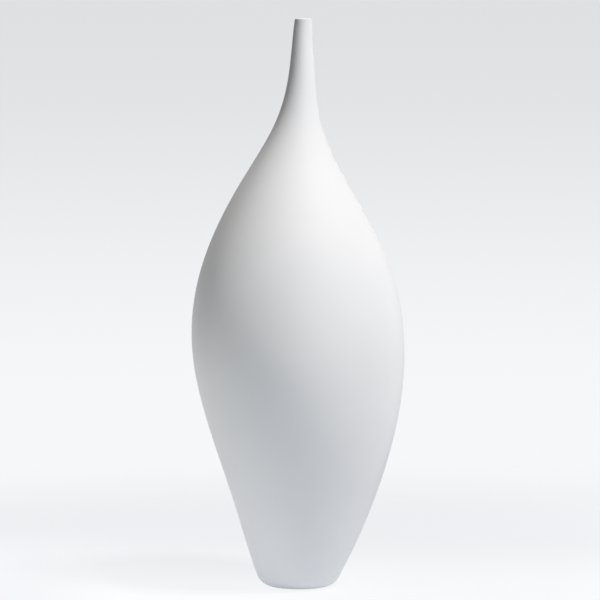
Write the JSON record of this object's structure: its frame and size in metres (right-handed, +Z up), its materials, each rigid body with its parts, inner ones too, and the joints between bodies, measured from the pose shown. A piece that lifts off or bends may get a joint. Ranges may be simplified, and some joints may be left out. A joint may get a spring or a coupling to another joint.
{
  "type": "bottle vase",
  "caption": "Tall bottle vase: a rounded, slightly bent belly on a small foot, drawn up into a slim neck with a narrow mouth, in satin white ceramic.",
  "frame": {"origin": "on the floor, under the middle of the belly", "axes": "+Z up to the mouth, +X to the picture's right, -Y towards the viewer"},
  "size_m": [0.2098, 0.2096, 0.56],
  "materials": {
    "glaze": "satin",
    "clay": "matte",
    "bumper": "satin"
  },
  "bodies": {
    "root": {"vase_body": "glaze", "base_disc": "clay", "bumper_foot_1": "bumper", "bumper_foot_2": "bumper", "bumper_foot_3": "bumper", "bumper_foot_4": "bumper"}
  },
  "joints": []
}
